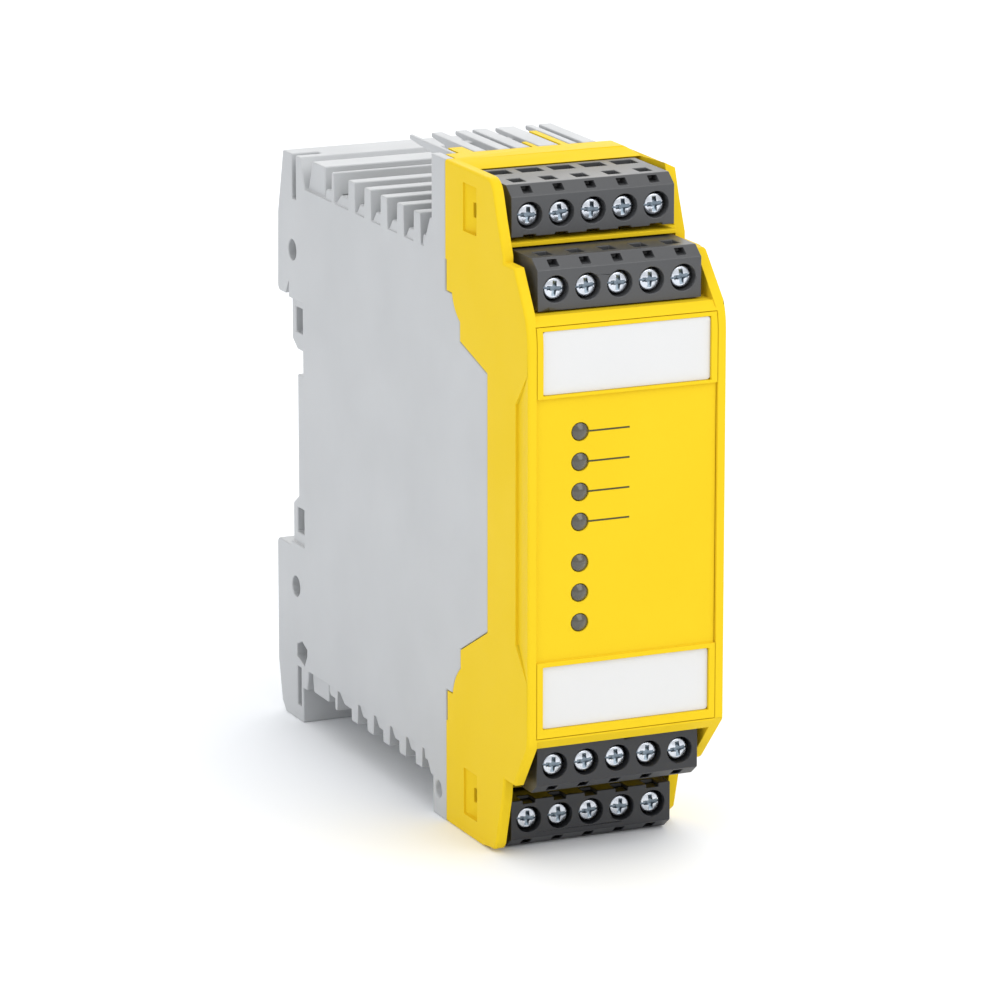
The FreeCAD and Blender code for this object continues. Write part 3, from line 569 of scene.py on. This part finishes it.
def copy_piece(master: bpy.types.Object, name: str, turn: float, move: Vector,
               axis: Vector) -> bpy.types.Object:
    """Copies a piece to another place, with its own mesh.

    Args:
        master: the piece to copy.
        name: name of the copy.
        turn: angle about the front-to-back axis.
        move: way from the master's place to the copy's.
        axis: a point of the master's axis.

    Returns:
        The copy.
    """
    piece = bpy.data.objects.new(name, master.data.copy())
    bpy.context.scene.collection.objects.link(piece)
    about = Matrix.Translation(axis) @ Matrix.Rotation(turn, 4, "Y") @ Matrix.Translation(-axis)
    piece.data.transform(Matrix.Translation(move) @ about)
    return piece


def keep_inside(piece: bpy.types.Object, low: Vector, high: Vector) -> None:
    """Sets back what the rounding put a hair outside a box.

    Args:
        piece: the rounded piece.
        low: lowest corner of the box.
        high: highest corner of the box.
    """
    for vertex in piece.data.vertices:
        vertex.co = [min(max(at, lowest), highest)
                     for lowest, at, highest in zip(low, vertex.co, high)]


def dress(piece: bpy.types.Object, finishes: tuple[Finish, ...], slot: Slot, body: str,
          *nodes: str) -> None:
    """Gives a piece its finishes and its body, and hides the nodes it stands for.

    Args:
        piece: the piece to dress.
        finishes: its surfaces, in the order of its face material numbers.
        slot: the record's material slot; not used.
        body: name of the body it rides on.
        nodes: CAD nodes that it replaces.
    """
    for index, finish in enumerate(finishes):
        if index < len(piece.data.materials):
            piece.data.materials[index] = finish.material()
        else:
            piece.data.materials.append(finish.material())
    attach(piece, body)
    if nodes:
        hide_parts(*nodes)
    log.info("%s on %s: %d faces", piece.name, body, len(piece.data.polygons))


def crown(piece: bpy.types.Object, radius: float, rise: float, rings: int) -> None:
    """Domes the flat front face of a round piece in edit mode.

    Args:
        piece: the piece in edit mode, with its front face selected.
        radius: radius of that face.
        rise: how far the middle comes forward.
        rings: number of steps from the rim to the middle.
    """
    step = radius / (rings + 1)
    for ring in range(rings):
        outer = 1 - ring / (rings + 1)
        inner = 1 - (ring + 1) / (rings + 1)
        bpy.ops.mesh.inset(thickness=step)
        bpy.ops.transform.translate(value=(0, -rise * (outer ** 2 - inner ** 2), 0))


@dataclass
class Moulding:
    """A moulded piece that keeps its CAD shape and gets rounded edges."""

    node: str
    body: str
    finish: Finish
    slot: Slot
    edge_mm: float
    segments: int = 2
    slide: bool = False

    def build(self) -> bpy.types.Object:
        """Models and dresses the moulding.

        Returns:
            The finished piece.
        """
        piece = copy_solid(self.node, f"{self.node}_moulded")
        self.shape(piece)
        round_edges(piece, self.edge_mm * MM, self.segments, self.slide)
        keep_inside(piece, *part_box(self.node))
        dress(piece, (self.finish,), self.slot, self.body, self.node)
        return piece

    def shape(self, piece: bpy.types.Object) -> None:
        """Leaves the CAD shape as it is, for plain mouldings."""


@dataclass
class FrontCover(Moulding):
    """Yellow front half, with tight joint lines, a thin roof edge and slim shelves.

    Its own sizes are in millimetres. Some say where faces of the solid lie, the others how
    far these move.
    """

    insert_x: float = 14.3
    insert_low: float = 20.9
    insert_high: float = 82.2
    insert_back: float = -48.2
    side_close: float = 0.12
    level_close: float = 0.1
    pocket_x: float = 13.5
    pocket_levels: tuple[float, ...] = (22.05, 31.65, 72.15, 81.75)
    pocket_close: float = 0.06
    roof_front: float = -22.6
    roof_low: float = 101.0
    roof_drop: float = 0.27
    roof_edge_share: float = 0.25
    roof_step: float = -20.0
    roof_step_rise: float = 0.1
    upper_shelf_front: float = -38.8
    upper_shelf_top: float = 92.9
    upper_shelf_drop: float = 0.4
    upper_shelf_back: float = 1.4
    lower_shelf_front: float = -36.0
    lower_shelf_middle: float = 9.4
    lower_shelf_back: float = 4.5

    def shape(self, piece: bpy.types.Object) -> None:
        """Closes the joint lines and slims the roof edge and the shelves.

        Args:
            piece: the copied cover.
        """
        self.close_joint(piece)
        self.close_pockets(piece)
        self.thin_roof_edge(piece)
        self.set_back_shelves(piece)

    def groove_wall(self, x: tuple[float, float], z: tuple[float, float],
                    look: tuple[float, float, float]) -> Patch:
        """Picks walls of the grooves in the front.

        Args:
            x: where they lie, from left to right.
            z: where they lie, from low to high.
            look: the way they look.

        Returns:
            The patch of these walls.
        """
        front = cad_box[0].y / MM - BESIDE_MM
        return Patch((x[0] - NEAR_MM, front, z[0] - NEAR_MM),
                     (x[1] + NEAR_MM, self.insert_back, z[1] + NEAR_MM), look)

    def front_at(self, y: float, low: float, high: float) -> Patch:
        """Picks faces that look to the front at one depth.

        Args:
            y: their depth.
            low: height that they lie above.
            high: height that they lie below.

        Returns:
            The patch of these faces.
        """
        return Patch((-REACH_MM, y - NEAR_MM, low), (REACH_MM, y + NEAR_MM, high), (0, -1, 0))

    def close_joint(self, piece: bpy.types.Object) -> None:
        """Narrows the joint line round the panel insert.

        Args:
            piece: the copied cover.
        """
        levels = (self.insert_low - BESIDE_MM, self.insert_high + BESIDE_MM)
        for side in (-1, 1):
            x = side * self.insert_x
            wall = self.groove_wall((x, x), levels, (side, 0, 0))
            wall.move(piece, side * self.side_close, 0, 0)
        for z, up in ((self.insert_low, -1), (self.insert_high, 1)):
            wall = self.groove_wall((-REACH_MM, REACH_MM), (z, z), (0, 0, up))
            wall.move(piece, 0, 0, up * self.level_close)

    def close_pockets(self, piece: bpy.types.Object) -> None:
        """Draws the pockets in round the marking plates.

        Args:
            piece: the copied cover.
        """
        for side in (-1, 1):
            x = side * self.pocket_x
            wall = self.groove_wall((x, x), (self.insert_low, self.insert_high), (-side, 0, 0))
            wall.move(piece, -side * self.pocket_close, 0, 0)
        for index, z in enumerate(self.pocket_levels):
            up = 1 if index % 2 == 0 else -1
            wall = self.groove_wall((-REACH_MM, REACH_MM), (z, z), (0, 0, up))
            wall.move(piece, 0, 0, up * self.pocket_close)

    def thin_roof_edge(self, piece: bpy.types.Object) -> None:
        """Brings the roof's front edge down to the block under it and smooths the roof behind.

        Args:
            piece: the copied cover.
        """
        y, z = self.roof_front, self.roof_low
        self.front_at(y, z, z + BESIDE_MM).move(piece, 0, 0, -self.roof_drop)
        lowered = self.front_at(y, z - BESIDE_MM, z + BESIDE_MM)
        step = self.front_at(self.roof_step, z, z + 2 * BESIDE_MM)
        with editing(piece):
            select_faces(piece, lowered.holds)
            bpy.ops.transform.resize(value=(1, 1, self.roof_edge_share), center_override=(
                0, y * MM, (z - self.roof_drop) * MM))
            select_faces(piece, step.holds)
            bpy.ops.mesh.remove_doubles(threshold=self.roof_step_rise * MM)

    def set_back_shelves(self, piece: bpy.types.Object) -> None:
        """Slims the shelf between the upper blocks and sets both shelves back.

        Args:
            piece: the copied cover.
        """
        y, z = self.upper_shelf_front, self.upper_shelf_top
        top = Patch((-REACH_MM, y, z - NEAR_MM),
                    (REACH_MM, self.roof_front + BESIDE_MM, z + NEAR_MM), (0, 0, 1))
        top.move(piece, 0, 0, -self.upper_shelf_drop)
        upper = self.front_at(y, z - 2 * BESIDE_MM, z)
        upper.move(piece, 0, self.upper_shelf_back, 0)
        z = self.lower_shelf_middle
        lower = self.front_at(self.lower_shelf_front, z - BESIDE_MM, z + BESIDE_MM)
        lower.move(piece, 0, self.lower_shelf_back, 0)


@dataclass
class TerminalBlock(Moulding):
    """Terminal block with deep marking windows and wells that fit close round the screws.

    Its own sizes are in millimetres.
    """

    row: Row = Row.UPPER_REAR
    window_depth: float = 1.9
    window_deeper: float = 1.3
    well_radius: float = 2.15
    well_share: float = 0.93
    well_near: float = 0.03
    foot_notch: float = 0.6
    foot_run: float = 3.0

    def shape(self, piece: bpy.types.Object) -> None:
        """Deepens the windows, fills the foot's notches and draws in the wells.

        Args:
            piece: the copied block.
        """
        low, high = (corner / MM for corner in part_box(self.node))
        window = low.y + self.window_depth
        Patch((low.x, window - NEAR_MM, low.z), (high.x, window + NEAR_MM, high.z),
              (0, -1, 0)).move(piece, 0, self.window_deeper, 0)
        floor = low.z + self.foot_notch if self.row.is_upper else high.z - self.foot_notch
        out = -1 if self.row.is_upper else 1
        Patch((low.x, low.y, floor - NEAR_MM), (high.x, low.y + self.foot_run, floor + NEAR_MM),
              (0, 0, out)).move(piece, 0, 0, out * FOOT_FILL[self.row])
        for pole in range(1, POLES + 1):
            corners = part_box(f"terminal_screw_{self.row.value}_{pole}")
            axis = (corners[0] + corners[1]) / 2
            with editing(piece):
                select_faces(piece, lambda face: self.on_well(face, axis))
                bpy.ops.transform.resize(value=(self.well_share, 1, self.well_share),
                                         center_override=axis)

    def on_well(self, face: bmesh.types.BMFace, axis: Vector) -> bool:
        """Tells whether a face belongs to the wall of the well round an axis.

        Args:
            face: the face.
            axis: a point of the well's axis.

        Returns:
            True where all its corners lie on the well's circle.
        """
        ways = [(vert.co - axis) / MM for vert in face.verts]
        return all(abs(math.hypot(way.x, way.z) - self.well_radius) < self.well_near
                   for way in ways)


@dataclass
class TerminalScrew:
    """Zinc-plated terminal screw with a low pan head, crossed recess and driver slot."""

    head_mm: float = 3.3
    head_height_mm: float = 1.7
    rim_round_mm: float = 0.32
    rim_steps: int = 4
    crown_mm: float = 0.2
    crown_rings: int = 4
    shank_mm: float = 2.3
    shank_bevel_mm: float = 0.16
    arm_mm: float = 2.9
    arm_width_mm: float = 0.72
    arm_depth_mm: float = 0.6
    arm_taper: float = 0.3
    least_wall_taper: float = 0.8
    web_mm: float = 1.15
    web_depth_mm: float = 0.5
    slot_mm: float = 4.95
    slot_width_mm: float = 0.3
    slot_depth_mm: float = 0.42
    edge_mm: float = 0.035

    def build(self, node: str) -> bpy.types.Object:
        """Models one screw in the place of a CAD screw.

        Args:
            node: name of the CAD screw.

        Returns:
            The screw, undressed.
        """
        low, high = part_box(node)
        middle = (low + high) / 2
        radius = self.head_mm * MM / 2
        face = low.y + self.crown_mm * MM
        depth = self.head_height_mm * MM - self.crown_mm * MM
        bpy.ops.object.select_all(action="DESELECT")
        bpy.ops.mesh.primitive_cylinder_add(
            vertices=ROUND_SIDES, radius=radius, depth=depth,
            location=(middle.x, face + depth / 2, middle.z), rotation=(math.pi / 2, 0, 0))
        screw = bpy.context.active_object
        bpy.ops.object.transform_apply(location=True, rotation=True, scale=True)
        with editing(screw):
            select_faces(screw, faces_front)
            bpy.ops.mesh.bevel(offset=self.rim_round_mm * MM, segments=self.rim_steps,
                               affect="EDGES")
            select_faces(screw, faces_front)
            crown(screw, radius - self.rim_round_mm * MM, self.crown_mm * MM, self.crown_rings)
            select_faces(screw, faces_back)
            bpy.ops.mesh.inset(thickness=radius - self.shank_mm * MM / 2)
            bpy.ops.mesh.extrude_region_move(TRANSFORM_OT_translate={
                "value": (0, high.y - face - depth, 0)})
            bpy.ops.mesh.bevel(offset=self.shank_bevel_mm * MM, segments=1, affect="EDGES")
        for finish in (SCREW_ZINC, RECESS_ZINC_PAINTED_SHADE):
            screw.data.materials.append(finish.material())
        centre = Vector((middle.x, low.y, middle.z))
        for turn in (0, 90):
            self.carve(screw, centre, self.arm_mm, self.arm_width_mm, self.arm_depth_mm,
                       self.arm_taper, turn)
        self.carve(screw, centre, self.web_mm, self.web_mm, self.web_depth_mm, self.arm_taper, 45)
        self.carve(screw, centre, self.slot_mm, self.slot_width_mm, self.slot_depth_mm, 1.0, 0)
        round_edges(screw, self.edge_mm * MM, 1)
        return screw

    def carve(self, screw: bpy.types.Object, centre: Vector, length: float, width: float,
              depth: float, taper: float, turn: float) -> None:
        """Sinks one straight recess that narrows inwards into the head.

        Args:
            screw: the screw.
            centre: middle of the head's front.
            length: length across the head in millimetres.
            width: width in millimetres.
            depth: depth in millimetres.
            taper: share of the length left at the bottom.
            turn: degrees that the recess is turned by.
        """
        # The tool reaches as far out of the head as into it, and tapers all the way.
        mouth = 2 - taper
        bpy.ops.object.select_all(action="DESELECT")
        bpy.ops.mesh.primitive_cube_add(size=1, location=centre)
        tool = bpy.context.active_object
        bpy.ops.transform.resize(value=(mouth * length * MM, 2 * depth * MM, width * MM))
        bpy.ops.object.transform_apply(location=True, rotation=True, scale=True)
        with editing(tool):
            select_faces(tool, faces_back)
            bpy.ops.transform.resize(
                value=(taper / mouth, 1, max(taper, self.least_wall_taper)),
                center_override=centre)
            bpy.ops.mesh.select_all(action="SELECT")
            bpy.ops.transform.rotate(value=math.radians(turn), orient_axis="Y",
                                     center_override=centre)
        for material in screw.data.materials:
            tool.data.materials.append(material)
        # The recess walls take the second material: the zinc painted darker, as painted shade in
        # the recess.
        for face in tool.data.polygons:
            face.material_index = 1
        apply_modifier(screw, "BOOLEAN", {"operation": "DIFFERENCE", "object": tool,
                                          "solver": "EXACT"})
        bpy.data.objects.remove(tool)


@dataclass
class TerminalRow:
    """One plug-in terminal block with its five screws, each left at its own small turn."""

    row: Row
    edge_mm: float = 0.14
    turn_step: float = 2.4
    turn_most_degrees: float = 6.0

    def build(self, screw: bpy.types.Object, screw_node: str) -> None:
        """Models the block and sets a screw in each of its wells.

        Args:
            screw: the screw to copy.
            screw_node: the CAD screw in whose place it was made.
        """
        name = self.row.value
        # The lower blocks take the darker copy of the polyamide, painted shade on the same
        # material.
        finish = PLUG_POLYAMIDE_UPPER if self.row.is_upper else PLUG_POLYAMIDE_PAINTED_SHADE
        slot = Slot.PLUG_UPPER if self.row.is_upper else Slot.PLUG_LOWER
        TerminalBlock(f"terminal_plug_{name}", f"plug_{name}", finish, slot, self.edge_mm,
                      row=self.row).build()
        low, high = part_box(screw_node)
        axis = (low + high) / 2
        for pole in range(1, POLES + 1):
            node = f"terminal_screw_{name}_{pole}"
            to_low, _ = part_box(node)
            step = self.turn_step * (pole + list(Row).index(self.row) * POLES)
            turn = math.radians(self.turn_most_degrees) * math.sin(step)
            copy = copy_piece(screw, f"{node}_plated", turn, to_low - low, axis)
            dress(copy, (SCREW_ZINC, RECESS_ZINC_PAINTED_SHADE), Slot.SCREW, f"screw_{name}_{pole}", node)


@dataclass
class LightColumn:
    """Column of status lights on the panel, with printed leader lines at the first ones."""

    count: int = 7
    leaders: int = 4
    dome_mm: float = 0.5
    dome_rings: int = 7
    rim_mm: float = 0.12
    rim_steps: int = 2
    smooth_degrees: float = 50.0
    leader_mm: float = 6.6
    leader_width_mm: float = 0.26
    leader_thick_mm: float = 0.03
    leader_edge_mm: float = 0.01
    panel_recess_mm: float = 0.5

    def build(self) -> None:
        """Models the domed lights and their leader lines."""
        first = "status_light_1"
        low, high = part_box(first)
        axis = (low + high) / 2
        light = self.make_light(low, high)
        line = self.make_leader(high.x, axis.z)
        for index in range(1, self.count + 1):
            node = f"status_light_{index}"
            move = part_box(node)[0] - low
            dome = copy_piece(light, f"{node}_dome", 0.0, move, axis)
            dress(dome, (LENS_ACRYLIC,), Slot.LENS, Body.HOUSING.value, node)
            if index <= self.leaders:
                leader = copy_piece(line, f"leader_line_{index}", 0.0, move, axis)
                dress(leader, (PRINT_INK,), Slot.LENS, Body.HOUSING.value)
        for master in (light, line):
            bpy.data.objects.remove(master)

    def make_light(self, low: Vector, high: Vector) -> bpy.types.Object:
        """Models one domed light.

        Args:
            low: lowest corner of the first light.
            high: highest corner of the first light.

        Returns:
            The light, undressed.
        """
        middle = (low + high) / 2
        radius = (high.x - low.x) / 2
        face = low.y + self.dome_mm * MM
        bpy.ops.object.select_all(action="DESELECT")
        bpy.ops.mesh.primitive_cylinder_add(
            vertices=ROUND_SIDES, radius=radius, depth=high.y - face,
            location=(middle.x, (face + high.y) / 2, middle.z), rotation=(math.pi / 2, 0, 0))
        light = bpy.context.active_object
        bpy.ops.object.transform_apply(location=True, rotation=True, scale=True)
        with editing(light):
            select_faces(light, faces_front)
            bpy.ops.mesh.bevel(offset=self.rim_mm * MM, segments=self.rim_steps,
                               affect="EDGES")
            select_faces(light, faces_front)
            crown(light, radius - self.rim_mm * MM, self.dome_mm * MM, self.dome_rings)
        pick(light)
        bpy.ops.object.shade_smooth_by_angle(angle=math.radians(self.smooth_degrees))
        return light

    def make_leader(self, start_x: float, z: float) -> bpy.types.Object:
        """Models one printed line as a thin bar with softened edges.

        Args:
            start_x: right rim of the light.
            z: height of the light.

        Returns:
            The line, undressed.
        """
        panel_y = cad_box[0].y + self.panel_recess_mm * MM
        bpy.ops.object.select_all(action="DESELECT")
        bpy.ops.mesh.primitive_cube_add(size=1, location=(
            start_x + self.leader_mm * MM / 2, panel_y - self.leader_thick_mm * MM / 2, z))
        line = bpy.context.active_object
        bpy.ops.transform.resize(value=(self.leader_mm * MM, self.leader_thick_mm * MM,
                                        self.leader_width_mm * MM))
        bpy.ops.object.transform_apply(location=True, rotation=True, scale=True)
        round_edges(line, self.leader_edge_mm * MM, 1)
        return line


@dataclass
class RailLatch:
    """Sliding rail latch and the folded spring under it."""

    edge_mm: float = 0.25
    spring_edge_mm: float = 0.06
    spring_kept: float = 0.63

    def build(self) -> None:
        """Models the slide and its spring."""
        Moulding("rail_latch", Body.LATCH.value, LATCH_ACETAL, Slot.LATCH, self.edge_mm).build()
        spring = Moulding("latch_spring", Body.HOUSING.value, SPRING_STEEL, Slot.SPRING,
                          self.spring_edge_mm, segments=1).build()
        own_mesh(spring)


@dataclass
class Electronics:
    """Boards, relays, headers and clamps inside, which keep their CAD shape."""

    boards: tuple[str, ...] = ("light_board", "terminal_board", "main_board")
    relays: tuple[str, ...] = ("relay_1", "relay_2")
    can: str = "capacitor"

    def build(self) -> None:
        """Gives each inner CAD node its material."""
        finishes = {self.can: CAN_ALUMINIUM}
        finishes.update({name: BOARD_LAMINATE for name in self.boards})
        finishes.update({name: RELAY_POLYESTER for name in self.relays})
        for row in Row:
            finishes[f"pin_header_{row.value}"] = HEADER_POLYESTER
            finishes[f"header_pins_{row.value}"] = PIN_TIN
            finishes[f"clamp_cages_{row.value}"] = CAGE_NICKEL
        for name, finish in finishes.items():
            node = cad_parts[name]
            node.data.materials.clear()
            node.data.materials.append(finish.material())
            log.info("%s: %s", name, finish.name)


@dataclass
class SoftBox:
    """A square studio light that looks at the controller, in degrees, metres and watts."""

    name: str
    azimuth: float
    elevation: float
    distance: float
    size: float
    power: float

    def build(self, aim: Vector) -> None:
        """Places the light.

        Args:
            aim: point it looks at.
        """
        away = direction(self.azimuth, self.elevation)
        lamp = bpy.data.lights.new(self.name, "AREA")
        lamp.energy = self.power
        lamp.size = self.size
        holder = bpy.data.objects.new(self.name, lamp)
        bpy.context.scene.collection.objects.link(holder)
        holder.location = aim + away * self.distance
        holder.rotation_euler = away.to_track_quat("Z", "Y").to_euler()


def direction(azimuth: float, elevation: float) -> Vector:
    """Unit way from the controller towards a place round it.

    Args:
        azimuth: degrees to the right of the front.
        elevation: degrees above the floor.

    Returns:
        The direction.
    """
    side = math.radians(azimuth)
    up = math.radians(elevation)
    return Vector((math.sin(side) * math.cos(up), -math.cos(side) * math.cos(up), math.sin(up)))


@dataclass
class Studio:
    """White floor, soft light and the camera at the photograph's viewing angle."""

    camera_azimuth: float = -23.88
    camera_elevation: float = 14.18
    camera_distance: float = 0.900
    aim_x: float = 0.00144
    aim_z: float = 0.0440
    lens_mm: float = 210.69
    sensor_mm: float = 36.0
    clip_start: float = 0.05
    floor_size: float = 6.0
    sky: str = "ffffff"
    sky_strength: float = 0.75

    def build(self) -> None:
        """Sets up floor, light and camera."""
        self.make_floor()
        aim = Vector((self.aim_x, 0, self.aim_z))
        for box in (SoftBox("key_light", azimuth=25, elevation=40, distance=1.5, size=1.2,
                            power=9.0),
                    SoftBox("fill_light", azimuth=-75, elevation=25, distance=1.5, size=1.2,
                            power=4.0),
                    SoftBox("top_light", azimuth=0, elevation=85, distance=1.5, size=1.4,
                            power=4.3),
                    SoftBox("back_light", azimuth=156, elevation=32, distance=1.4, size=1.3,
                            power=6.5)):
            box.build(aim)
        world = bpy.data.worlds.new("studio_sky")
        world.use_nodes = True
        sky = world.node_tree.nodes["Background"]
        sky.inputs["Color"].default_value = linear(self.sky)
        sky.inputs["Strength"].default_value = self.sky_strength
        bpy.context.scene.world = world
        bpy.context.scene.view_settings.view_transform = "Standard"
        self.make_camera(aim)

    def make_floor(self) -> None:
        """Lays the paper floor."""
        bpy.ops.object.select_all(action="DESELECT")
        bpy.ops.mesh.primitive_plane_add(size=self.floor_size)
        floor = bpy.context.active_object
        floor.name = "studio_floor"
        floor.data.materials.append(STUDIO_PAPER.material())

    def make_camera(self, aim: Vector) -> None:
        """Places the camera.

        Args:
            aim: point in the middle of the picture.
        """
        away = direction(self.camera_azimuth, self.camera_elevation)
        camera = bpy.data.cameras.new("photo_camera")
        camera.lens = self.lens_mm
        camera.sensor_width = self.sensor_mm
        camera.sensor_fit = "HORIZONTAL"
        camera.clip_start = self.clip_start
        holder = bpy.data.objects.new("photo_camera", camera)
        bpy.context.scene.collection.objects.link(holder)
        holder.location = aim + away * self.camera_distance
        holder.rotation_euler = away.to_track_quat("Z", "Y").to_euler()
        bpy.context.scene.camera = holder


def main() -> None:
    """Builds the controller's pieces in order, then the studio round it."""
    logging.basicConfig(level=logging.INFO, format="%(message)s")
    housing = Body.HOUSING.value
    Moulding("rear_housing", housing, HOUSING_POLYAMIDE, Slot.HOUSING, edge_mm=0.22,
             slide=True).build()
    FrontCover("front_cover", housing, COVER_POLYAMIDE, Slot.COVER, edge_mm=0.08).build()
    for node in ("label_plate_upper", "label_plate_lower"):
        Moulding(node, housing, LABEL_POLYCARBONATE, Slot.LABEL, edge_mm=0.04).build()
    screw_node = f"terminal_screw_{Row.UPPER_REAR.value}_1"
    screw = TerminalScrew().build(screw_node)
    for row in Row:
        TerminalRow(row).build(screw, screw_node)
    bpy.data.objects.remove(screw)
    LightColumn().build()
    RailLatch().build()
    Electronics().build()
    Studio().build()


if __name__ == "__main__":
    main()
